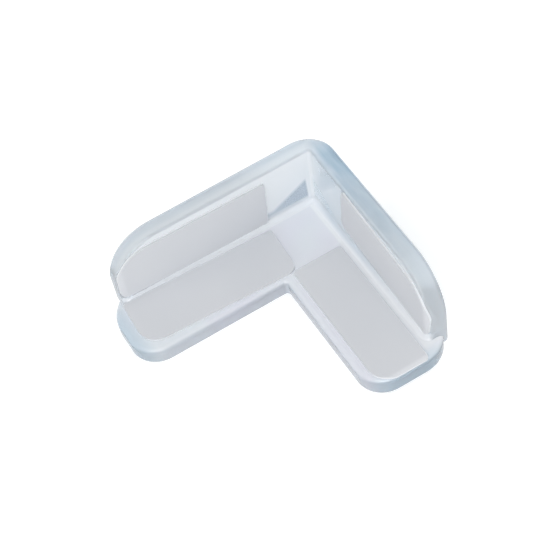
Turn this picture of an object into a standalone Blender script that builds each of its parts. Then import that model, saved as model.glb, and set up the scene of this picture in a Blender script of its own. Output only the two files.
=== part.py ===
"""Clear corner guard for the corner of a table top or shelf, with four peel-off adhesive pads.

Units are metres, +Z is up. The guard lies on its flange, with its two walls standing up. The origin is on the
underside, straight below the seat corner: the furniture's two edges come to rest against the walls' inner faces,
and its face comes to rest on the flange. The left arm runs towards -X and the right arm runs towards -Y.
"""

import math

import bmesh
import bpy
from mathutils import Matrix, Vector

# The clear moulding
ARM_LENGTH = 0.040
FLANGE_WIDTH = 0.015
GUARD_HEIGHT = 0.015
THICKNESS = 0.0033
WALL_LENGTH = 0.0374
LEFT_FLANGE_INSET = 0.0006
RIGHT_FLANGE_INSET = 0.0003
LEFT_WALL_LEAN = -0.0007
RIGHT_WALL_LEAN = 0.0009

# Rounding of the moulding
APEX_RADIUS = 0.0050
WALL_END_RADIUS = 0.0081
WALL_FOOT_RADIUS = 0.0018
FLANGE_END_RADIUS = 0.0045
LEFT_FLANGE_BACK_RADIUS = 0.0066
RIGHT_FLANGE_BACK_RADIUS = 0.0054
NOTCH_RADIUS = 0.0006
FOLD_RADIUS = 0.0011
EDGE_RADIUS = 0.0009
SEAT_EDGE_RADIUS = 0.0005

# The adhesive pads and the liners that cover them
SEAT_GAP = 0.00025
ADHESIVE_THICKNESS = 0.0002
LINER_THICKNESS = 0.00012
PAD_CORNER_RADIUS = 0.0004
PAD_ROUND_MARGIN = 0.0012

LEFT_WALL_PAD_START = 0.0083
LEFT_WALL_PAD_END_MARGIN = 0.0007
LEFT_WALL_PAD_FOLD_MARGIN = 0.0013
LEFT_WALL_PAD_EDGE_MARGIN = 0.0015
LEFT_WALL_PAD_TURN = math.radians(1.3)

LEFT_FLANGE_PAD_CORNER_MARGIN = 0.0027
LEFT_FLANGE_PAD_END_MARGIN = 0.0020
LEFT_FLANGE_PAD_FOLD_MARGIN = 0.00135
LEFT_FLANGE_PAD_EDGE_MARGIN = 0.0018
LEFT_FLANGE_PAD_TURN = math.radians(-2.0)

RIGHT_FLANGE_PAD_CORNER_MARGIN = 0.0009
RIGHT_FLANGE_PAD_END_MARGIN = 0.0006
RIGHT_FLANGE_PAD_FOLD_MARGIN = 0.0018
RIGHT_FLANGE_PAD_EDGE_MARGIN = 0.0021
RIGHT_FLANGE_PAD_TURN = math.radians(-0.4)

RIGHT_WALL_PAD_START = 0.0098
RIGHT_WALL_PAD_END_MARGIN = 0.0007
RIGHT_WALL_PAD_FOLD_MARGIN = 0.0018
RIGHT_WALL_PAD_EDGE_MARGIN = 0.0013
RIGHT_WALL_PAD_TURN = math.radians(-4.5)

# Facets along the round stretches
ARC_STEP = math.radians(9)
EDGE_SEGMENTS = 4
MOST_OF_A_SIDE = 0.98
SHARP_ANGLE = math.radians(25)
FLAT_ANGLE = math.radians(0.5)
SAME_PLACE = 0.00001
SAME_POINT = 0.000001

# Distances that follow from the sizes above, measured from the seat corner
FLANGE_REACH = ARM_LENGTH - THICKNESS
FLANGE_DEPTH = FLANGE_WIDTH - THICKNESS
WALL_REACH = WALL_LENGTH - THICKNESS
WALL_RISE = GUARD_HEIGHT - THICKNESS
LEFT_FLANGE_BACK = THICKNESS - LEFT_FLANGE_INSET
RIGHT_FLANGE_BACK = THICKNESS - RIGHT_FLANGE_INSET

CLEAR_BLUE = (0.80, 0.89, 0.95, 1.0)
TAPE_GREY = (0.62, 0.65, 0.67, 1.0)
LINER_GREY = (0.60, 0.62, 0.63, 1.0)


def clear_scene():
    for old in list(bpy.data.objects):
        bpy.data.objects.remove(old, do_unlink=True)


def new_collection(name):
    collection = bpy.data.collections.new(name)
    bpy.context.scene.collection.children.link(collection)
    return collection


def new_material(name, colour, roughness, transmission=0.0):
    made = bpy.data.materials.new(name)
    made.use_nodes = True
    shader = made.node_tree.nodes["Principled BSDF"]
    shader.inputs["Base Color"].default_value = colour
    shader.inputs["Roughness"].default_value = roughness
    shader.inputs["Metallic"].default_value = 0.0
    shader.inputs["Transmission Weight"].default_value = transmission
    return made


def rounded_outline(corners):
    """Points of a closed flat outline from its sharp corners (x, y, radius), each round stretch as an arc."""
    points = []
    for index, (x, y, radius) in enumerate(corners):
        corner = Vector((x, y))
        if radius <= 0:
            points.append(corner)
            continue
        before, after = corners[index - 1], corners[(index + 1) % len(corners)]
        back, ahead = Vector(before[:2]) - corner, Vector(after[:2]) - corner
        half_angle = back.angle(ahead) / 2
        shares = [
            side.length * MOST_OF_A_SIDE * radius / (radius + neighbour[2])
            for side, neighbour in ((back, before), (ahead, after))
        ]
        radius = min(radius, min(shares) * math.tan(half_angle))
        tangent = radius / math.tan(half_angle)
        middle = (back.normalized() + ahead.normalized()).normalized()
        centre = corner + middle * radius / math.sin(half_angle)
        first = corner + back.normalized() * tangent - centre
        last = corner + ahead.normalized() * tangent - centre
        turn = math.atan2(first.cross(last), first.dot(last))
        steps = max(1, round(abs(turn) / ARC_STEP))
        for step in range(steps + 1):
            points.append(centre + Matrix.Rotation(turn * step / steps, 2) @ first)
    return points


def share_along_arm(distance):
    """1 at the corner and beyond it, falling evenly to 0 at a wall's free end."""
    return min(1.0, max(0.0, 1.0 + distance / WALL_REACH))


def lean_with_walls(mesh):
    """Leans the left wall over the seat and the right wall outwards, and keeps the free ends' places."""
    for vert in mesh.vertices:
        x, y, z = vert.co
        vert.co.x += RIGHT_WALL_LEAN * z / GUARD_HEIGHT * share_along_arm(x)
        vert.co.y += LEFT_WALL_LEAN * z / GUARD_HEIGHT * share_along_arm(y)


def mesh_of(bm, name):
    mesh = bpy.data.meshes.new(name)
    bm.to_mesh(mesh)
    bm.free()
    mesh.shade_smooth()
    mesh.set_sharp_from_angle(angle=SHARP_ANGLE)
    return mesh


def new_part(name, mesh, look, collection):
    part = bpy.data.objects.new(name, mesh)
    part.data.materials.append(look)
    collection.objects.link(part)
    return part


def flat_plate(name, outline, thickness):
    """A plate of even thickness with the given outline, lying on z = 0, as a mesh open to edits."""
    curve = bpy.data.curves.new(name, "CURVE")
    curve.dimensions = "2D"
    curve.fill_mode = "BOTH"
    curve.extrude = thickness / 2
    spline = curve.splines.new("POLY")
    spline.points.add(len(outline) - 1)
    spline.use_cyclic_u = True
    for point, place in zip(spline.points, outline):
        point.co = (place.x, place.y, 0.0, 1.0)
    holder = bpy.data.objects.new(name, curve)
    bpy.context.scene.collection.objects.link(holder)
    bpy.context.view_layer.update()
    graph = bpy.context.evaluated_depsgraph_get()
    plate = bmesh.new()
    plate.from_mesh(bpy.data.meshes.new_from_object(holder.evaluated_get(graph)))
    bpy.data.objects.remove(holder, do_unlink=True)
    bmesh.ops.remove_doubles(plate, verts=plate.verts, dist=SAME_POINT)
    bmesh.ops.dissolve_limit(plate, angle_limit=FLAT_ANGLE, verts=plate.verts, edges=plate.edges)
    bmesh.ops.translate(plate, verts=plate.verts, vec=(0, 0, thickness / 2))
    bmesh.ops.recalc_face_normals(plate, faces=plate.faces)
    return plate


def lie_on(verts, axis, level):
    return all(abs(vert.co[axis] - level) < SAME_PLACE for vert in verts)


def wall_band():
    """Both walls as one upright band, round at the apex and at the four corners of its free ends."""
    outline = [
        (THICKNESS, THICKNESS, APEX_RADIUS),
        (THICKNESS, -WALL_REACH, 0),
        (0, -WALL_REACH, 0),
        (0, 0, 0),
        (-WALL_REACH, 0, 0),
        (-WALL_REACH, THICKNESS, 0),
    ]
    band = flat_plate("wall_band", rounded_outline(outline), GUARD_HEIGHT)
    for level, radius in ((GUARD_HEIGHT, WALL_END_RADIUS), (0.0, WALL_FOOT_RADIUS)):
        corners = [
            edge
            for edge in band.edges
            if lie_on(edge.verts, 2, level)
            and any(lie_on(edge.verts, axis, -WALL_REACH) for axis in (0, 1))
        ]
        bmesh.ops.bevel(
            band,
            geom=corners,
            offset=radius,
            segments=round(math.radians(90) / ARC_STEP),
            profile=0.5,
            affect="EDGES",
        )
    return band


def flange_plate():
    """The flange along both arms. Its back edge ends inside the walls, apart from the round lobes past their ends."""
    outline = [
        (RIGHT_FLANGE_BACK, LEFT_FLANGE_BACK, APEX_RADIUS),
        (RIGHT_FLANGE_BACK, -FLANGE_REACH, RIGHT_FLANGE_BACK_RADIUS),
        (-FLANGE_DEPTH, -FLANGE_REACH, FLANGE_END_RADIUS),
        (-FLANGE_DEPTH, -FLANGE_DEPTH, NOTCH_RADIUS),
        (-FLANGE_REACH, -FLANGE_DEPTH, FLANGE_END_RADIUS),
        (-FLANGE_REACH, LEFT_FLANGE_BACK, LEFT_FLANGE_BACK_RADIUS),
    ]
    return flat_plate("flange_plate", rounded_outline(outline), THICKNESS)


def soften_edges(piece, radius_of):
    """Rounds the sharp edges of a piece in one Bevel, each to the radius that radius_of gives for it."""
    solid = bmesh.new()
    solid.from_mesh(piece.data)
    weight = solid.edges.layers.float.new("bevel_weight_edge")
    for edge in solid.edges:
        sharp = edge.is_convex and edge.calc_face_angle() > SHARP_ANGLE
        edge[weight] = radius_of(edge) / FOLD_RADIUS if sharp else 0.0
    solid.to_mesh(piece.data)
    solid.free()
    bevel = piece.modifiers.new("soft_edges", "BEVEL")
    bevel.width = FOLD_RADIUS
    bevel.segments = EDGE_SEGMENTS
    bevel.limit_method = "WEIGHT"
    bevel.use_clamp_overlap = False


def band_edge_radius(edge):
    middle = (edge.verts[0].co + edge.verts[1].co) / 2
    on_seat_face = any(lie_on(face.verts, axis, 0.0) for face in edge.link_faces for axis in (0, 1))
    if on_seat_face:
        return SEAT_EDGE_RADIUS if middle.z > WALL_FOOT_RADIUS else 0.0
    nearness_to_fold = max(0.0, 1.0 - middle.z / WALL_FOOT_RADIUS)
    return EDGE_RADIUS + (FOLD_RADIUS - EDGE_RADIUS) * nearness_to_fold


def add_guard(collection, helpers):
    """The clear moulding: the flange and the wall band as one solid."""
    look = new_material("clear_soft_plastic", CLEAR_BLUE, 0.12, 1.0)
    band = new_part("wall_band", mesh_of(wall_band(), "wall_band"), look, helpers)
    soften_edges(band, band_edge_radius)
    band.hide_render = True
    band.display_type = "WIRE"
    guard = new_part("corner_guard", mesh_of(flange_plate(), "corner_guard"), look, collection)
    soften_edges(guard, lambda edge: EDGE_RADIUS)
    for piece in (band, guard):
        lean_with_walls(piece.data)
    joined = guard.modifiers.new("walls", "BOOLEAN")
    joined.operation = "UNION"
    joined.solver = "EXACT"
    joined.object = band
    guard.modifiers.new("even_shading", "WEIGHTED_NORMAL")
    return guard


def pad_corners(start, end, near_fold, near_edge, free_radius):
    """A pad's outline on its face: x runs along the arm from the seat corner, y away from the fold."""
    return [
        (start, near_fold, PAD_CORNER_RADIUS),
        (end, near_fold, PAD_CORNER_RADIUS),
        (end, near_edge, free_radius),
        (start, near_edge, PAD_CORNER_RADIUS),
    ]


def pad_layer(name, corners, turn, thickness, height, on_face, look, collection):
    """One flat layer of a pad: its outline turned about its middle, at a height off the face that carries it."""
    middle = Vector(((corners[0][0] + corners[2][0]) / 2, (corners[0][1] + corners[2][1]) / 2))
    turned = Matrix.Rotation(turn, 2)
    outline = [middle + turned @ (point - middle) for point in rounded_outline(corners)]
    layer = flat_plate(name, outline, thickness)
    bmesh.ops.translate(layer, verts=layer.verts, vec=(0, 0, height))
    bmesh.ops.transform(layer, matrix=on_face, verts=layer.verts)
    bmesh.ops.recalc_face_normals(layer, faces=layer.faces)
    return new_part(name, mesh_of(layer, name), look, collection)


def face_frame(along, away, off):
    """The place of a seat face, from its directions along the arm, away from the fold and off the face."""
    frame = Matrix.Identity(4)
    for column, direction in enumerate((along, away, off)):
        frame.col[column].xyz = direction
    frame.translation = (0, 0, THICKNESS)
    return frame


def add_pads(collection):
    tape = new_material("clear_adhesive", TAPE_GREY, 0.4)
    film = new_material("grey_release_film", LINER_GREY, 0.45)
    left, front, up = Vector((-1, 0, 0)), Vector((0, -1, 0)), Vector((0, 0, 1))
    on_wall = WALL_END_RADIUS - PAD_ROUND_MARGIN
    on_flange = FLANGE_END_RADIUS - PAD_ROUND_MARGIN
    pads = {
        "left_wall": (
            face_frame(left, up, front),
            WALL_REACH - LEFT_WALL_PAD_END_MARGIN,
            LEFT_WALL_PAD_START,
            LEFT_WALL_PAD_FOLD_MARGIN,
            WALL_RISE - LEFT_WALL_PAD_EDGE_MARGIN,
            LEFT_WALL_PAD_TURN,
            on_wall,
        ),
        "left_flange": (
            face_frame(left, front, up),
            FLANGE_REACH - LEFT_FLANGE_PAD_END_MARGIN,
            FLANGE_DEPTH - LEFT_FLANGE_PAD_CORNER_MARGIN,
            LEFT_FLANGE_PAD_FOLD_MARGIN,
            FLANGE_DEPTH - LEFT_FLANGE_PAD_EDGE_MARGIN,
            LEFT_FLANGE_PAD_TURN,
            on_flange,
        ),
        "right_flange": (
            face_frame(front, left, up),
            FLANGE_REACH - RIGHT_FLANGE_PAD_END_MARGIN,
            FLANGE_DEPTH - RIGHT_FLANGE_PAD_CORNER_MARGIN,
            RIGHT_FLANGE_PAD_FOLD_MARGIN,
            FLANGE_DEPTH - RIGHT_FLANGE_PAD_EDGE_MARGIN,
            RIGHT_FLANGE_PAD_TURN,
            on_flange,
        ),
        "right_wall": (
            face_frame(front, up, left),
            WALL_REACH - RIGHT_WALL_PAD_END_MARGIN,
            RIGHT_WALL_PAD_START,
            RIGHT_WALL_PAD_FOLD_MARGIN,
            WALL_RISE - RIGHT_WALL_PAD_EDGE_MARGIN,
            RIGHT_WALL_PAD_TURN,
            on_wall,
        ),
    }
    for place, (frame, end, start, near_fold, near_edge, turn, free_radius) in pads.items():
        corners = pad_corners(start, end, near_fold, near_edge, free_radius)
        height = SEAT_GAP
        for kind, thickness, look in (
            ("adhesive", ADHESIVE_THICKNESS, tape),
            ("liner", LINER_THICKNESS, film),
        ):
            name = f"{place}_{kind}"
            layer = pad_layer(name, corners, turn, thickness, height, frame, look, collection)
            lean_with_walls(layer.data)
            height += thickness + SEAT_GAP


def main():
    clear_scene()
    collection = new_collection("corner_protector")
    add_guard(collection, new_collection("helpers"))
    add_pads(collection)


main()
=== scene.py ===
"""Clear corner guard on a pale table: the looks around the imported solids."""

import math

import bmesh
import bpy
from mathutils import Matrix, Vector


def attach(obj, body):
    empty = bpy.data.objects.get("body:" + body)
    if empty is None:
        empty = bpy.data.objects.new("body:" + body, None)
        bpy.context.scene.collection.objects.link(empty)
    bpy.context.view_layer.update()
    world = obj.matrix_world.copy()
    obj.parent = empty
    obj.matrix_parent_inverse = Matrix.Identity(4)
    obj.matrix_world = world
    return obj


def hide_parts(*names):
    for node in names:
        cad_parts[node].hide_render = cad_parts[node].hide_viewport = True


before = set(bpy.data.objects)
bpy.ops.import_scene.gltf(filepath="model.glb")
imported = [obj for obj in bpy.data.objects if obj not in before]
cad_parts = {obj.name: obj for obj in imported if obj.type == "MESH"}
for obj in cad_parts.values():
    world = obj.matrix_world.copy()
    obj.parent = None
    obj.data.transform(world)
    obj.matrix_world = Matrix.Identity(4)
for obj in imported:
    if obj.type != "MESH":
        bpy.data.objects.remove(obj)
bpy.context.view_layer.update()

# The clear moulding, in metres. The walls' inner faces are x = 0 and y = 0, and z is up.
FLANGE_REACH = 0.0367
FLANGE_DEPTH = 0.0117
WALL_REACH = 0.0341
THICKNESS = 0.0033
GUARD_HEIGHT = 0.015
LEFT_FLANGE_BACK = 0.0027
RIGHT_FLANGE_BACK = 0.0030
LEFT_WALL_LEAN = -0.0007
RIGHT_WALL_LEAN = 0.0009
APEX_RADIUS = 0.0050
WALL_END_RADIUS = 0.0081
WALL_FOOT_RADIUS = 0.0018
FLANGE_END_RADIUS = 0.0045
LEFT_FLANGE_BACK_RADIUS = 0.0066
RIGHT_FLANGE_BACK_RADIUS = 0.0054
NOTCH_RADIUS = 0.0006
EDGE_RADIUS = 0.0009
SEAT_EDGE_RADIUS = 0.0005
SEAT_CORNER_RADIUS = 0.0006
BEAD_RADIUS = 0.0010
BEAD_ROOT = 0.0004
BEAD_PROFILE = 0.12
BEAD_STOP = 0.00005

# How far the walls' free ends are rounded on their inner side: left wall, right wall
END_ROUNDING = (0.0015, 0.0014)

# The pads: (start, end, near the fold, near the edge, turn in degrees, radius of the free corner)
PADS = {
    "left_wall": (0.0083, 0.0338, 0.0010, 0.0102, 1.3, 0.0055),
    "left_flange": (0.0090, 0.0347, 0.0011, 0.0103, -2.8, 0.0033),
    "right_flange": (0.0110, 0.0365, 0.0018, 0.0102, 0.2, 0.0033),
    "right_wall": (0.0098, 0.0339, 0.0020, 0.0104, -4.7, 0.0055),
}
# The pads' directions: along the arm, away from the fold and off the face
PAD_DIRECTIONS = {
    "left_wall": ((-1, 0, 0), (0, 0, 1), (0, -1, 0)),
    "left_flange": ((-1, 0, 0), (0, -1, 0), (0, 0, 1)),
    "right_flange": ((0, -1, 0), (-1, 0, 0), (0, 0, 1)),
    "right_wall": ((0, -1, 0), (0, 0, 1), (-1, 0, 0)),
}
PAD_CORNER_RADIUS = 0.0004
INNER_CORNER_RADIUS = {"left_flange": 0.0016}
PAD_CURL = 0.0010

# The pads' layers, by their levels off the face that carries them
ADHESIVE_BACK = -0.00002
ADHESIVE_FACE = 0.00026
FILM_GAP = 0.00002
FILM_THICKNESS = 0.00012
FILM_BACK = ADHESIVE_FACE + FILM_GAP
FILM_FACE = FILM_BACK + FILM_THICKNESS

# Facets
ARC_SEGMENTS = 28
EDGE_SEGMENTS = 9
END_SEGMENTS = 10
SHARP_ANGLE = math.radians(28)
FLAT_ANGLE = math.radians(0.5)
TINY = 0.000002

# The plastic's colours: the flange; painted light that makes the walls whiter; a painted highlight in
# the fold; painted shade in the rims, the ends and the wedges by the corner
LAVENDER = (0.825, 0.825, 0.890)
MILKY = (0.830, 0.862, 0.890)
WALL_PAINTED_LIGHT = (0.965, 0.972, 0.990)
FOLD_PAINTED_HIGHLIGHT = (0.935, 0.937, 0.962)
RIM_PAINTED_SHADE = (0.43, 0.57, 0.69)
END_PAINTED_SHADE = (0.58, 0.69, 0.78)
LEFT_WEDGE_PAINTED_SHADE = (0.45, 0.52, 0.61)
RIGHT_WEDGE_PAINTED_SHADE = (0.86, 0.90, 0.93)

# The clear plastic's surface, body and shadow
PLASTIC_SURFACE = {"Wave Size": 140.0, "Wave Depth": 0.05, "Grain Size": 1500.0, "Grain Depth": 0.02}
PLASTIC_ROUGHNESS = (0.05, 0.11)
PLASTIC_TRANSMISSION = 0.66
PLASTIC_REFRACTION = 1.5
MILK_RANGE = (0.35, 0.65)
BODY_TINT = (0.40, 0.62, 0.72, 1.0)
BODY_DENSITY = 30.0
SHADOW_TINT = (0.93, 0.95, 0.965, 1.0)

# Painted shade in the walls' rims: blue streaks that stand in for the dark refraction seen there.
# RIGHT_RIM and LEFT_RIM run from the inner faces into the walls, and the fades run along the arms.
RIM_SHADE_STREAKS = {"Streak Size": 90.0, "Left Share": 0.34}
STREAK_RANGE = (0.36, 0.62)
LEAST_STREAK = 0.55
STREAK_TILT = math.radians(8)
STREAK_DETAIL = 2.0
SQUEEZE_RIGHT = (7.0, 1.0, 2.0)
SQUEEZE_LEFT = (1.0, 7.0, 2.0)
RIGHT_RIM = (0.0004, 0.0021)
LEFT_RIM = (0.0003, 0.0012)
CORNER_FADE = (-0.003, 0.002)
CORNER_SHARE = 0.2
ARM_FADE = (-0.0340, -0.010)

# Bands of painted shade in the flange's free ends and of a painted highlight in the fold
LEFT_END_BAND = 0.0031
RIGHT_END_BAND = 0.0024
FOLD_BAND = 0.0013

# The painted shade wedges on the walls' inner faces, standing in for the flange's back seen darkly
# through the wall. Each lies MARK_STOP to MARK_LENGTH from the corner, above
# MARK_LOW and under a slope that rises from MARK_TAIL to MARK_HIGH at the corner.
LEFT_MARK_FACE = (-0.0006, 0.0002)
RIGHT_MARK_FACE = (0.0, 0.0007)
MARK_LENGTH = 0.0068
MARK_STOP = 0.0005
MARK_LOW = 0.0049
MARK_TAIL = 0.0059
MARK_HIGH = 0.0092
MARK_BLUR = 0.0009
MARK_SKIN = 0.0002
MARK_FAR_SHARE = 0.85

# The pads' finishes
FILM_COLOURS = ((0.603, 0.622, 0.655), (0.628, 0.645, 0.676))
FILM_ROUGHNESS = (0.40, 0.50)
FILM_SURFACE = {"Wave Size": 90.0, "Wave Depth": 0.02, "Grain Size": 3000.0, "Grain Depth": 0.1}
ADHESIVE_COLOURS = ((0.72, 0.75, 0.78), (0.78, 0.80, 0.83))
ADHESIVE_ROUGHNESS = (0.25, 0.40)
ADHESIVE_SURFACE = {"Wave Size": 300.0, "Wave Depth": 0.05, "Grain Size": 3000.0, "Grain Depth": 0.05}

# Waves and grain: how much detail they have, how high they stand, and their noise's usual range
WAVE_DETAIL = 1.0
WAVE_HEIGHT = 0.001
GRAIN_DETAIL = 3.0
GRAIN_HEIGHT = 0.0001
NOISE_RANGE = (0.3, 0.7)

# The table, the room and the lamp
FLOOR_SIZE = 4.0
FLOOR_LEVEL = -0.0001
FLOOR_COLOUR = (0.92, 0.92, 0.92, 1.0)
FLOOR_ROUGHNESS = 0.9
FLOOR_GLOW = 0.28
SEEN_FLOOR = 0.95
ROOM_LIGHT = 0.67
SEEN_ROOM = 1.0
WHITE = (1.0, 1.0, 1.0, 1.0)
LAMP_PLACE = Vector((-0.50, -0.68, 0.70))
LAMP_SIZE = 0.8
LAMP_POWER = 6.6

# The view
PICTURE_PIXELS = 560
SENSOR_WIDTH = 36.0
FOCAL_PIXELS = 1975.6
AIM_POINT = Vector((-0.010, -0.010, 0.006))
AIM_PIXEL = (287.06, 258.52)
VIEW_AZIMUTH = math.radians(-19.205)
VIEW_ELEVATION = math.radians(51.422)
VIEW_ROLL = math.radians(-13.946)
VIEW_DISTANCE = 0.300
NEAREST_SEEN = 0.01
FARTHEST_SEEN = 20.0


def deselect():
    """Leaves edit mode and lets go of every piece."""
    if bpy.context.mode != "OBJECT":
        bpy.ops.object.mode_set(mode="OBJECT")
    bpy.ops.object.select_all(action="DESELECT")


def take_up(piece):
    """Makes the piece the active one, and the only one selected."""
    deselect()
    piece.select_set(True)
    bpy.context.view_layer.objects.active = piece


def start_plate(name, low, high):
    """A flat rectangle on z = 0 between two opposite corners, left open in edit mode."""
    deselect()
    middle = ((low[0] + high[0]) / 2, (low[1] + high[1]) / 2, 0.0)
    bpy.ops.mesh.primitive_plane_add(size=1.0, location=middle)
    plate = bpy.context.active_object
    plate.name = name
    plate.scale = (high[0] - low[0], high[1] - low[1], 1.0)
    bpy.ops.object.transform_apply(location=True, rotation=True, scale=True)
    bpy.ops.object.mode_set(mode="EDIT")
    return plate


def choose(piece, kind, wanted):
    """Selects the vertices, edges or faces of the open piece that the test wants."""
    bpy.ops.mesh.select_mode(type={"verts": "VERT", "edges": "EDGE", "faces": "FACE"}[kind])
    bpy.ops.mesh.select_all(action="DESELECT")
    bm = bmesh.from_edit_mesh(piece.data)
    bm.normal_update()
    for item in getattr(bm, kind):
        if wanted(item):
            item.select_set(True)
    bmesh.update_edit_mesh(piece.data)


def lies_at(item, axis, level):
    """Whether an edge or face lies square to the axis, at the level."""
    return all(abs(vert.co[axis] - level) < TINY for vert in item.verts)


def stands_at(vert, x, y):
    return abs(vert.co.x - x) < TINY and abs(vert.co.y - y) < TINY


def sharp_outside(edge):
    """Whether an edge stands out and is sharp enough to be rounded."""
    return len(edge.link_faces) == 2 and edge.is_convex and edge.calc_face_angle() > SHARP_ANGLE


def round_chosen(radius, segments, profile=0.5, affect="EDGES"):
    bpy.ops.mesh.bevel(
        offset_type="OFFSET",
        offset=radius,
        segments=segments,
        profile=profile,
        affect=affect,
        clamp_overlap=False,
    )


def cut_across(axis, level):
    """Cuts right through the open piece, square to x (axis 0) or y (axis 1)."""
    square = [0.0, 0.0, 0.0]
    square[axis] = 1.0
    point = [0.0, 0.0, 0.0]
    point[axis] = level
    bpy.ops.mesh.select_all(action="SELECT")
    bpy.ops.mesh.bisect(plane_co=point, plane_no=square)


def raise_plate(height):
    """Gives the open plate its thickness, and merges the flat faces that cuts have parted."""
    bpy.ops.mesh.select_all(action="SELECT")
    bpy.ops.mesh.extrude_region_move(TRANSFORM_OT_translate={"value": (0.0, 0.0, height)})
    bpy.ops.mesh.select_all(action="SELECT")
    bpy.ops.mesh.normals_make_consistent(inside=False)
    bpy.ops.mesh.dissolve_limited(angle_limit=FLAT_ANGLE)


def corner_plate(name, back, reach, depth, height):
    """An L-shaped plate: back is its outer corner, reach its arms' ends and depth their inner edges."""
    plate = start_plate(name, (-reach, -reach), back)
    for axis in (0, 1):
        cut_across(axis, -depth)

    def between_arms(face):
        return all(face.calc_center_median()[axis] < -depth for axis in (0, 1))

    choose(plate, "faces", between_arms)
    bpy.ops.mesh.delete(type="FACE")
    raise_plate(height)
    return plate


def round_upright(plate, x, y, radius, segments):
    """Rounds the upright edge that stands at x and y."""
    choose(plate, "edges", lambda edge: lies_at(edge, 0, x) and lies_at(edge, 1, y))
    round_chosen(radius, segments)


def model_flange():
    """The flange, with a radius of its own at each corner and all its edges rounded."""
    back = (RIGHT_FLANGE_BACK, LEFT_FLANGE_BACK)
    plate = corner_plate("flange", back, FLANGE_REACH, FLANGE_DEPTH, THICKNESS)
    for x, y, radius in (
        (RIGHT_FLANGE_BACK, LEFT_FLANGE_BACK, APEX_RADIUS),
        (RIGHT_FLANGE_BACK, -FLANGE_REACH, RIGHT_FLANGE_BACK_RADIUS),
        (-FLANGE_DEPTH, -FLANGE_REACH, FLANGE_END_RADIUS),
        (-FLANGE_DEPTH, -FLANGE_DEPTH, NOTCH_RADIUS),
        (-FLANGE_REACH, -FLANGE_DEPTH, FLANGE_END_RADIUS),
        (-FLANGE_REACH, LEFT_FLANGE_BACK, LEFT_FLANGE_BACK_RADIUS),
    ):
        round_upright(plate, x, y, radius, ARC_SEGMENTS)
    choose(plate, "edges", sharp_outside)
    round_chosen(EDGE_RADIUS, EDGE_SEGMENTS)
    return plate


def at_free_end(edge, level):
    """Whether an edge runs across a wall's free end at the height given."""
    return lies_at(edge, 2, level) and any(lies_at(edge, axis, -WALL_REACH) for axis in (0, 1))


def in_seat_corner(vert):
    return all(-SEAT_CORNER_RADIUS - TINY < vert.co[axis] < TINY for axis in (0, 1))


def on_seat(edge):
    """Whether an edge bounds a wall's inner face, where a pad sits, or the round corner between them."""
    beside_face = any(lies_at(face, axis, 0.0) for face in edge.link_faces for axis in (0, 1))
    return beside_face or any(in_seat_corner(vert) for vert in edge.verts)


def above_foot(edge):
    return all(vert.co.z > WALL_FOOT_RADIUS - TINY for vert in edge.verts)


def model_walls():
    """Both walls in one band, round at the outer corner, the free ends, the feet and the edges."""
    band = corner_plate("walls", (THICKNESS, THICKNESS), WALL_REACH, 0.0, GUARD_HEIGHT)
    round_upright(band, THICKNESS, THICKNESS, APEX_RADIUS, ARC_SEGMENTS)
    round_upright(band, 0.0, 0.0, SEAT_CORNER_RADIUS, EDGE_SEGMENTS)
    for level, radius in ((GUARD_HEIGHT, WALL_END_RADIUS), (0.0, WALL_FOOT_RADIUS)):
        choose(band, "edges", lambda edge: at_free_end(edge, level))
        round_chosen(radius, ARC_SEGMENTS)
    choose(band, "edges", lambda edge: sharp_outside(edge) and not on_seat(edge))
    round_chosen(EDGE_RADIUS, EDGE_SEGMENTS)
    choose(band, "edges", lambda edge: sharp_outside(edge) and on_seat(edge) and above_foot(edge))
    round_chosen(SEAT_EDGE_RADIUS, EDGE_SEGMENTS)
    return band


def model_bead(name, along_x):
    """The small fillet in the fold between a wall and the flange, with a root inside both."""
    low = [-BEAD_RADIUS, BEAD_STOP - WALL_REACH]
    if along_x:
        low.reverse()
    across = 1 if along_x else 0
    bead = start_plate(name, low, (BEAD_ROOT, BEAD_ROOT))
    raise_plate(BEAD_ROOT + BEAD_RADIUS)
    bpy.ops.mesh.select_all(action="SELECT")
    bpy.ops.transform.translate(value=(0.0, 0.0, THICKNESS - BEAD_ROOT))

    def outer_edge(edge):
        return lies_at(edge, across, -BEAD_RADIUS) and lies_at(edge, 2, THICKNESS + BEAD_RADIUS)

    choose(bead, "edges", outer_edge)
    round_chosen(BEAD_RADIUS, EDGE_SEGMENTS, BEAD_PROFILE)
    return bead


def round_free_ends(piece):
    """Rounds the free ends on their inner side: cut across, then moved into the wall's thickness."""
    take_up(piece)
    bpy.ops.object.mode_set(mode="EDIT")
    for axis, rounding in enumerate(END_ROUNDING):
        for step in range(END_SEGMENTS):
            past = rounding * math.sin(math.pi / 2 * step / END_SEGMENTS)
            cut_across(axis, rounding - WALL_REACH - past)
    bpy.ops.object.mode_set(mode="OBJECT")
    for vert in piece.data.vertices:
        for along, across in ((0, 1), (1, 0)):
            rounding = END_ROUNDING[along]
            past = min(max(0.0, rounding - WALL_REACH - vert.co[along]), rounding)
            share = min(1.0, max(0.0, 1.0 - vert.co[across] / THICKNESS))
            vert.co[across] += (rounding - math.sqrt(rounding**2 - past**2)) * share


def curl_over_flange_end(layer, axis):
    """A flange pad's end follows the rounded edge that it reaches over."""
    flat_end = FLANGE_REACH - EDGE_RADIUS
    take_up(layer)
    bpy.ops.object.mode_set(mode="EDIT")
    for step in range(END_SEGMENTS):
        cut_across(axis, -(flat_end + PAD_CURL * step / END_SEGMENTS))
    bpy.ops.object.mode_set(mode="OBJECT")
    for vert in layer.data.vertices:
        past = min(max(0.0, -vert.co[axis] - flat_end), PAD_CURL)
        vert.co.z -= PAD_CURL - math.sqrt(PAD_CURL**2 - past**2)


def share_along_arm(distance):
    """1 at the corner, falling to 0 at a wall's free end."""
    return min(1.0, max(0.0, 1.0 + distance / WALL_REACH))


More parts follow.
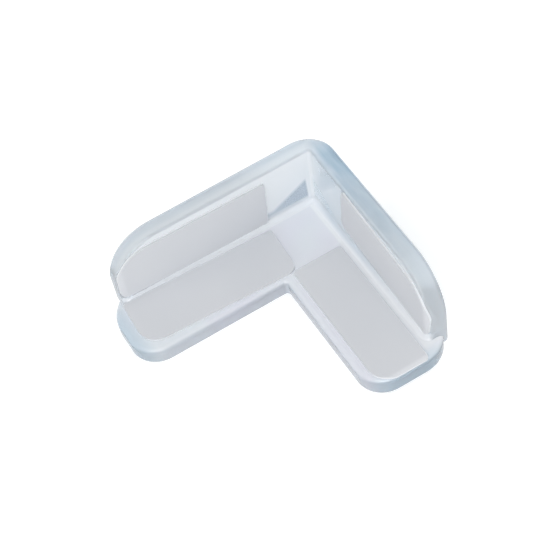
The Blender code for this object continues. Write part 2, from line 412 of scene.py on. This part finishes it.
def lean_with_walls(piece):
    """The walls' lean, which no edit tool makes: full at the corner and gone at the free ends."""
    for vert in piece.data.vertices:
        x, y, z = vert.co
        vert.co.x += RIGHT_WALL_LEAN * z / GUARD_HEIGHT * share_along_arm(x)
        vert.co.y += LEFT_WALL_LEAN * z / GUARD_HEIGHT * share_along_arm(y)


def finish_mesh(piece):
    """Merges doubled points, turns the faces outwards and shades the round stretches smooth."""
    take_up(piece)
    bpy.ops.object.mode_set(mode="EDIT")
    bpy.ops.mesh.select_all(action="SELECT")
    bpy.ops.mesh.remove_doubles(threshold=TINY / 2)
    bpy.ops.mesh.normals_make_consistent(inside=False)
    bpy.ops.object.mode_set(mode="OBJECT")
    bpy.ops.object.shade_smooth_by_angle(angle=SHARP_ANGLE)


def model_guard():
    """The flange, the walls and the two fillets, joined to one closed moulding."""
    guard = model_flange()
    others = [model_walls(), model_bead("left_bead", True), model_bead("right_bead", False)]
    for part in others:
        round_free_ends(part)
    take_up(guard)
    for part in others:
        joined = guard.modifiers.new("join", "BOOLEAN")
        joined.operation = "UNION"
        joined.solver = "MANIFOLD"
        joined.object = part
        bpy.ops.object.modifier_apply(modifier="join")
    for part in others:
        bpy.data.objects.remove(part)
    lean_with_walls(guard)
    guard.name = "clear_guard"
    finish_mesh(guard)
    even = guard.modifiers.new("even_shading", "WEIGHTED_NORMAL")
    even.keep_sharp = True
    bpy.ops.object.modifier_apply(modifier="even_shading")
    return guard


def model_layer(name, place, bottom, top):
    """One thin layer of a pad, from its bottom to its top level off the face that carries it."""
    start, end, near_fold, near_edge, turn, free_radius = PADS[place]
    size = Vector(((end - start) / 2, (near_edge - near_fold) / 2))
    layer = start_plate(name, -size, size)
    for x_side, y_side, radius in (
        (1, 1, free_radius),
        (1, -1, PAD_CORNER_RADIUS),
        (-1, 1, INNER_CORNER_RADIUS.get(place, PAD_CORNER_RADIUS)),
        (-1, -1, PAD_CORNER_RADIUS),
    ):
        choose(layer, "verts", lambda vert: stands_at(vert, x_side * size.x, y_side * size.y))
        round_chosen(radius, ARC_SEGMENTS // 2, affect="VERTICES")
    raise_plate(top - bottom)
    take_up(layer)
    along, away, off = (Vector(direction) for direction in PAD_DIRECTIONS[place])
    on_face = along * (start + size.x) + away * (near_fold + size.y)
    middle = on_face + off * bottom + Vector((0, 0, THICKNESS))
    axes = Matrix((along, away, off)).transposed().to_4x4()
    turned = Matrix.Rotation(math.radians(turn), 4, "Z")
    layer.matrix_world = Matrix.Translation(middle) @ axes @ turned
    bpy.ops.object.transform_apply(location=True, rotation=True, scale=True)
    if place.endswith("wall"):
        round_free_ends(layer)
    else:
        curl_over_flange_end(layer, 0 if place.startswith("left") else 1)
    lean_with_walls(layer)
    finish_mesh(layer)
    return layer


def new_group(name, taken, given):
    """A node group with number inputs at their usual values, and outputs of the kinds named."""
    group = bpy.data.node_groups.new(name, "ShaderNodeTree")
    for label, value in taken.items():
        socket = group.interface.new_socket(name=label, in_out="INPUT", socket_type="NodeSocketFloat")
        socket.default_value = value
    for label, kind in given.items():
        group.interface.new_socket(name=label, in_out="OUTPUT", socket_type=kind)
    return group, group.nodes.new("NodeGroupInput"), group.nodes.new("NodeGroupOutput")


def use_group(tree, group, values):
    used = tree.nodes.new("ShaderNodeGroup")
    used.node_tree = group
    for label, value in values.items():
        used.inputs[label].default_value = value
    return used


def calculate(tree, operation, one, other):
    """One step of arithmetic on two values, each of them a socket or a number."""
    step = tree.nodes.new("ShaderNodeMath")
    step.operation = operation
    for socket, value in zip(step.inputs, (one, other)):
        if isinstance(value, float):
            socket.default_value = value
        else:
            tree.links.new(value, socket)
    return step.outputs[0]


def spread(tree, source, low, high, start, stop):
    """Turns a value that runs from start to stop into one that runs from low to high."""
    ramp = tree.nodes.new("ShaderNodeMapRange")
    for label, value in (("From Min", start), ("From Max", stop), ("To Min", low), ("To Max", high)):
        ramp.inputs[label].default_value = value
    tree.links.new(source, ramp.inputs["Value"])
    return ramp.outputs["Result"]


def rise(tree, source, start, stop):
    """A mask that rises from 0 at the start to 1 at the stop."""
    return spread(tree, source, 0.0, 1.0, start, stop)


def fall(tree, source, start, stop):
    """A mask that falls from 1 at the start to 0 at the stop."""
    return spread(tree, source, 1.0, 0.0, start, stop)


def tint(tree, share, near, far):
    """Mixes two colours, each of them a colour or a socket, by a share from 0 to 1."""
    mixed = tree.nodes.new("ShaderNodeMix")
    mixed.data_type = "RGBA"
    tree.links.new(share, mixed.inputs[0])
    for socket, colour in ((mixed.inputs[6], near), (mixed.inputs[7], far)):
        if isinstance(colour, tuple):
            socket.default_value = (*colour, 1.0)
        else:
            tree.links.new(colour, socket)
    return mixed.outputs[2]


def place_on_piece(tree):
    """A point's place on its piece, and the same place as x, y and z."""
    place = tree.nodes.new("ShaderNodeTexCoord").outputs["Object"]
    parts = tree.nodes.new("ShaderNodeSeparateXYZ")
    tree.links.new(place, parts.inputs[0])
    return place, [parts.outputs[label] for label in "XYZ"]


def noise_at(tree, place, size, detail):
    """Noise from 0 to 1 over a piece. Its size is a socket."""
    noise = tree.nodes.new("ShaderNodeTexNoise")
    noise.inputs["Detail"].default_value = detail
    tree.links.new(place, noise.inputs["Vector"])
    tree.links.new(size, noise.inputs["Scale"])
    return noise.outputs["Fac"]


def unevenness_group():
    """Slow waves and a fine grain of a moulded or coated surface: a normal and a mask from 0 to 1."""
    group, taken, given = new_group(
        "moulded_unevenness",
        {"Wave Size": 120.0, "Wave Depth": 0.1, "Grain Size": 2500.0, "Grain Depth": 0.02},
        {"Normal": "NodeSocketVector", "Mask": "NodeSocketFloat"},
    )
    place = group.nodes.new("ShaderNodeTexCoord").outputs["Object"]
    waves = noise_at(group, place, taken.outputs["Wave Size"], WAVE_DETAIL)
    grain = noise_at(group, place, taken.outputs["Grain Size"], GRAIN_DETAIL)
    slow, fine = group.nodes.new("ShaderNodeBump"), group.nodes.new("ShaderNodeBump")
    for bump, source, depth, height in (
        (slow, waves, "Wave Depth", WAVE_HEIGHT),
        (fine, grain, "Grain Depth", GRAIN_HEIGHT),
    ):
        bump.inputs["Distance"].default_value = height
        group.links.new(taken.outputs[depth], bump.inputs["Strength"])
        group.links.new(source, bump.inputs["Height"])
    group.links.new(slow.outputs["Normal"], fine.inputs["Normal"])
    group.links.new(fine.outputs["Normal"], given.inputs["Normal"])
    group.links.new(waves, given.inputs["Mask"])
    return group


def streaks_along(group, place, size, squeeze):
    """Noise drawn out along one arm, by squeezing it across."""
    stretched = group.nodes.new("ShaderNodeMapping")
    stretched.inputs["Scale"].default_value = squeeze
    stretched.inputs["Rotation"].default_value = (0.0, 0.0, STREAK_TILT)
    group.links.new(place, stretched.inputs["Vector"])
    return noise_at(group, stretched.outputs[0], size, STREAK_DETAIL)


def rim_shade_streaks_group():
    """Painted shade for the rims: streaks that run along the two walls, and how deep in a wall's
    thickness a point lies.
    """
    group, taken, given = new_group(
        "streaks_along_walls",
        {"Streak Size": 60.0, "Left Share": 0.5},
        {"Depth": "NodeSocketFloat", "Streaks": "NodeSocketFloat"},
    )
    place, (x, y, _) = place_on_piece(group)
    faded = spread(group, y, 1.0, CORNER_SHARE, *CORNER_FADE)
    right_depth = calculate(group, "MULTIPLY", rise(group, x, *RIGHT_RIM), faded)
    left_depth = calculate(group, "MULTIPLY", rise(group, y, *LEFT_RIM), taken.outputs["Left Share"])
    deeper = calculate(group, "MAXIMUM", right_depth, left_depth)
    depth = calculate(group, "MULTIPLY", deeper, rise(group, y, *ARM_FADE))
    group.links.new(depth, given.inputs["Depth"])
    size = taken.outputs["Streak Size"]
    choice = group.nodes.new("ShaderNodeMix")
    group.links.new(right_depth, choice.inputs[0])
    group.links.new(streaks_along(group, place, size, SQUEEZE_LEFT), choice.inputs[2])
    group.links.new(streaks_along(group, place, size, SQUEEZE_RIGHT), choice.inputs[3])
    group.links.new(choice.outputs[0], given.inputs["Streaks"])
    return group


def corner_mark(tree, along, across, up, inner_face):
    """The wedge of painted shade on one wall's inner face, low beside the corner."""
    slope = spread(tree, along, MARK_TAIL, MARK_HIGH, -MARK_LENGTH, -MARK_STOP)
    mark = rise(tree, calculate(tree, "SUBTRACT", slope, up), 0.0, MARK_BLUR)
    for limit in (
        rise(tree, up, MARK_LOW - MARK_BLUR, MARK_LOW),
        spread(tree, along, MARK_FAR_SHARE, 1.0, -MARK_LENGTH, -MARK_LENGTH / 2),
        fall(tree, along, -MARK_STOP - MARK_BLUR / 3, -MARK_STOP),
        rise(tree, across, inner_face[0] - MARK_SKIN, inner_face[0]),
        fall(tree, across, inner_face[1], inner_face[1] + MARK_SKIN),
    ):
        mark = calculate(tree, "MULTIPLY", mark, limit)
    return mark


def end_bands(tree, x, y):
    """A mask for the painted shade at the flange's two free ends."""
    left_end = fall(tree, x, -FLANGE_REACH, -FLANGE_REACH + LEFT_END_BAND)
    right_end = fall(tree, y, -FLANGE_REACH, -FLANGE_REACH + RIGHT_END_BAND)
    return calculate(tree, "MAXIMUM", left_end, right_end)


def fold_band(tree, x, y, z):
    """A mask for the painted highlight in the fold where the flange and the walls meet."""
    near_wall = rise(tree, calculate(tree, "MAXIMUM", x, y), -FOLD_BAND, -BEAD_RADIUS)
    near_flange = fall(tree, z, THICKNESS + BEAD_RADIUS, THICKNESS + FOLD_BAND)
    return calculate(tree, "MULTIPLY", near_wall, near_flange)


def plastic_colour(tree, mask, walls):
    """Milky, with painted light that makes the walls whiter, a painted highlight in the fold, and
    painted blue shade in the corner wedges, the ends and the rims.
    """
    _, (x, y, z) = place_on_piece(tree)
    colour = tint(tree, rise(tree, mask, *MILK_RANGE), LAVENDER, MILKY)
    for share, shade in (
        # Painted light: the walls above the flange are made whiter, as if the white backdrop shone
        # through them
        (rise(tree, z, THICKNESS, THICKNESS + BEAD_RADIUS), WALL_PAINTED_LIGHT),
        # Painted highlight: the fold between the flange and the walls is made whiter
        (fold_band(tree, x, y, z), FOLD_PAINTED_HIGHLIGHT),
        # Painted shade: dark wedges low on the walls' inner faces beside the corner, stronger on the
        # left
        (corner_mark(tree, x, y, z, LEFT_MARK_FACE), LEFT_WEDGE_PAINTED_SHADE),
        (corner_mark(tree, y, x, z, RIGHT_MARK_FACE), RIGHT_WEDGE_PAINTED_SHADE),
        # Painted shade: the flange's free ends are darkened to blue
        (end_bands(tree, x, y), END_PAINTED_SHADE),
    ):
        colour = tint(tree, share, colour, shade)
    # Painted shade: the rims are darkened to steel blue in streaks, standing in for dark refraction
    streaks = spread(tree, walls.outputs["Streaks"], LEAST_STREAK, 1.0, *STREAK_RANGE)
    return tint(tree, calculate(tree, "MULTIPLY", walls.outputs["Depth"], streaks), colour, RIM_PAINTED_SHADE)


def new_material(name):
    """An empty material: the material, its node tree and its output."""
    made = bpy.data.materials.new(name)
    made.use_nodes = True
    made.node_tree.nodes.clear()
    return made, made.node_tree, made.node_tree.nodes.new("ShaderNodeOutputMaterial")


def uneven_shader(tree, uneven, surface, roughness):
    """A shader with waves and grain and a roughness that varies with them, and their mask."""
    shader = tree.nodes.new("ShaderNodeBsdfPrincipled")
    used = use_group(tree, uneven, surface)
    tree.links.new(used.outputs["Normal"], shader.inputs["Normal"])
    varied = spread(tree, used.outputs["Mask"], *roughness, *NOISE_RANGE)
    tree.links.new(varied, shader.inputs["Roughness"])
    return shader, used.outputs["Mask"]


def choose_shader(tree, share, usual, other):
    """The other shader where the share is 1, and else the usual one."""
    mix = tree.nodes.new("ShaderNodeMixShader")
    tree.links.new(share, mix.inputs[0])
    tree.links.new(usual.outputs[0], mix.inputs[1])
    tree.links.new(other.outputs[0], mix.inputs[2])
    return mix.outputs[0]


def clear_plastic(uneven, streaks):
    """Milky soft plastic that light passes through, a little blue where it is thick."""
    made, tree, out = new_material("clear_soft_plastic")
    shader, mask = uneven_shader(tree, uneven, PLASTIC_SURFACE, PLASTIC_ROUGHNESS)
    walls = use_group(tree, streaks, RIM_SHADE_STREAKS)
    tree.links.new(plastic_colour(tree, mask, walls), shader.inputs["Base Color"])
    shader.inputs["IOR"].default_value = PLASTIC_REFRACTION
    shader.inputs["Transmission Weight"].default_value = PLASTIC_TRANSMISSION
    clear = tree.nodes.new("ShaderNodeBsdfTransparent")
    clear.inputs["Color"].default_value = SHADOW_TINT
    in_shadow = tree.nodes.new("ShaderNodeLightPath").outputs["Is Shadow Ray"]
    tree.links.new(choose_shader(tree, in_shadow, shader, clear), out.inputs["Surface"])
    body = tree.nodes.new("ShaderNodeVolumeAbsorption")
    body.inputs["Color"].default_value = BODY_TINT
    body.inputs["Density"].default_value = BODY_DENSITY
    tree.links.new(body.outputs[0], out.inputs["Volume"])
    return made


def pad_finish(name, colours, roughness, uneven, surface):
    """A dull finish that varies a little between two colours."""
    made, tree, out = new_material(name)
    shader, mask = uneven_shader(tree, uneven, surface, roughness)
    tree.links.new(tint(tree, rise(tree, mask, *NOISE_RANGE), *colours), shader.inputs["Base Color"])
    tree.links.new(shader.outputs[0], out.inputs["Surface"])
    return made


def release_film(uneven):
    return pad_finish("grey_release_film", FILM_COLOURS, FILM_ROUGHNESS, uneven, FILM_SURFACE)


def clear_adhesive(uneven):
    return pad_finish("clear_adhesive", ADHESIVE_COLOURS, ADHESIVE_ROUGHNESS, uneven, ADHESIVE_SURFACE)


def dress(piece, look, node):
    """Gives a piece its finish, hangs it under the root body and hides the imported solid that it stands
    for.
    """
    piece.data.materials.clear()
    piece.data.materials.append(look)
    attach(piece, "root")
    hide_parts(node)


def table_top():
    """Matt and pale, a little brighter to the camera, and evenly bright where the plastic shows it."""
    made, tree, out = new_material("pale_table_top")
    shader = tree.nodes.new("ShaderNodeBsdfPrincipled")
    shader.inputs["Base Color"].default_value = FLOOR_COLOUR
    shader.inputs["Roughness"].default_value = FLOOR_ROUGHNESS
    shader.inputs["Emission Color"].default_value = WHITE
    ray = tree.nodes.new("ShaderNodeLightPath").outputs
    glow = calculate(tree, "MULTIPLY", ray["Is Camera Ray"], FLOOR_GLOW)
    tree.links.new(glow, shader.inputs["Emission Strength"])
    seen = tree.nodes.new("ShaderNodeEmission")
    seen.inputs["Strength"].default_value = SEEN_FLOOR
    in_plastic = calculate(tree, "MAXIMUM", ray["Is Glossy Ray"], ray["Is Transmission Ray"])
    tree.links.new(choose_shader(tree, in_plastic, shader, seen), out.inputs["Surface"])
    return made


def make_floor():
    bpy.ops.mesh.primitive_plane_add(size=FLOOR_SIZE, location=(0.0, 0.0, FLOOR_LEVEL))
    floor = bpy.context.active_object
    floor.name = "pale_table"
    floor.data.materials.append(table_top())


def make_world():
    """A soft white room, brighter where it is seen, mirrored or looked at through the plastic."""
    world = bpy.data.worlds.new("soft_room")
    bpy.context.scene.world = world
    world.use_nodes = True
    tree = world.node_tree
    background = tree.nodes["Background"]
    background.inputs["Color"].default_value = WHITE
    ray = tree.nodes.new("ShaderNodeLightPath").outputs
    seen = ray["Is Camera Ray"]
    for kind in ("Is Glossy Ray", "Is Transmission Ray"):
        seen = calculate(tree, "MAXIMUM", seen, ray[kind])
    strength = spread(tree, seen, ROOM_LIGHT, SEEN_ROOM, 0.0, 1.0)
    tree.links.new(strength, background.inputs["Strength"])


def make_lamp():
    """One large soft lamp on the camera's side, which doesn't show through the plastic."""
    data = bpy.data.lights.new("key", "AREA")
    data.size = LAMP_SIZE
    data.energy = LAMP_POWER
    lamp = bpy.data.objects.new("key", data)
    lamp.visible_transmission = False
    bpy.context.scene.collection.objects.link(lamp)
    lamp.location = LAMP_PLACE
    lamp.rotation_euler = (-LAMP_PLACE).to_track_quat("-Z", "Y").to_euler()


def make_camera():
    """The camera stands off the aim point, and is turned so that the point falls on its pixel."""
    outwards = math.cos(VIEW_ELEVATION)
    back = Vector(
        (
            math.sin(VIEW_AZIMUTH) * outwards,
            -math.cos(VIEW_AZIMUTH) * outwards,
            math.sin(VIEW_ELEVATION),
        )
    )
    level = Vector((math.cos(VIEW_AZIMUTH), math.sin(VIEW_AZIMUTH), 0.0))
    above = back.cross(level)
    right = math.cos(VIEW_ROLL) * level + math.sin(VIEW_ROLL) * above
    up = math.cos(VIEW_ROLL) * above - math.sin(VIEW_ROLL) * level
    place = AIM_POINT + back * VIEW_DISTANCE
    half = PICTURE_PIXELS / 2
    metres_per_pixel = VIEW_DISTANCE / FOCAL_PIXELS
    sideways = right * (AIM_PIXEL[0] - half) * metres_per_pixel
    upwards = up * (half - AIM_PIXEL[1]) * metres_per_pixel
    looked_at = AIM_POINT - sideways - upwards
    z_axis = (place - looked_at).normalized()
    x_axis = up.cross(z_axis).normalized()
    y_axis = z_axis.cross(x_axis)
    data = bpy.data.cameras.new("camera")
    data.sensor_width = SENSOR_WIDTH
    data.lens = FOCAL_PIXELS * SENSOR_WIDTH / PICTURE_PIXELS
    data.clip_start = NEAREST_SEEN
    data.clip_end = FARTHEST_SEEN
    camera = bpy.data.objects.new("camera", data)
    bpy.context.scene.collection.objects.link(camera)
    turned = Matrix((x_axis, y_axis, z_axis)).transposed().to_4x4()
    camera.matrix_world = Matrix.Translation(place) @ turned
    bpy.context.scene.camera = camera


make_camera()
uneven = unevenness_group()
plastic = clear_plastic(uneven, rim_shade_streaks_group())
film = release_film(uneven)
gel = clear_adhesive(uneven)
dress(model_guard(), plastic, "corner_guard")
for place in PADS:
    adhesive = model_layer(f"{place}_gel", place, ADHESIVE_BACK, ADHESIVE_FACE)
    dress(adhesive, gel, f"{place}_adhesive")
    liner = model_layer(f"{place}_film", place, FILM_BACK, FILM_FACE)
    dress(liner, film, f"{place}_liner")
deselect()
make_floor()
make_world()
make_lamp()
bpy.context.scene.view_settings.view_transform = "Standard"
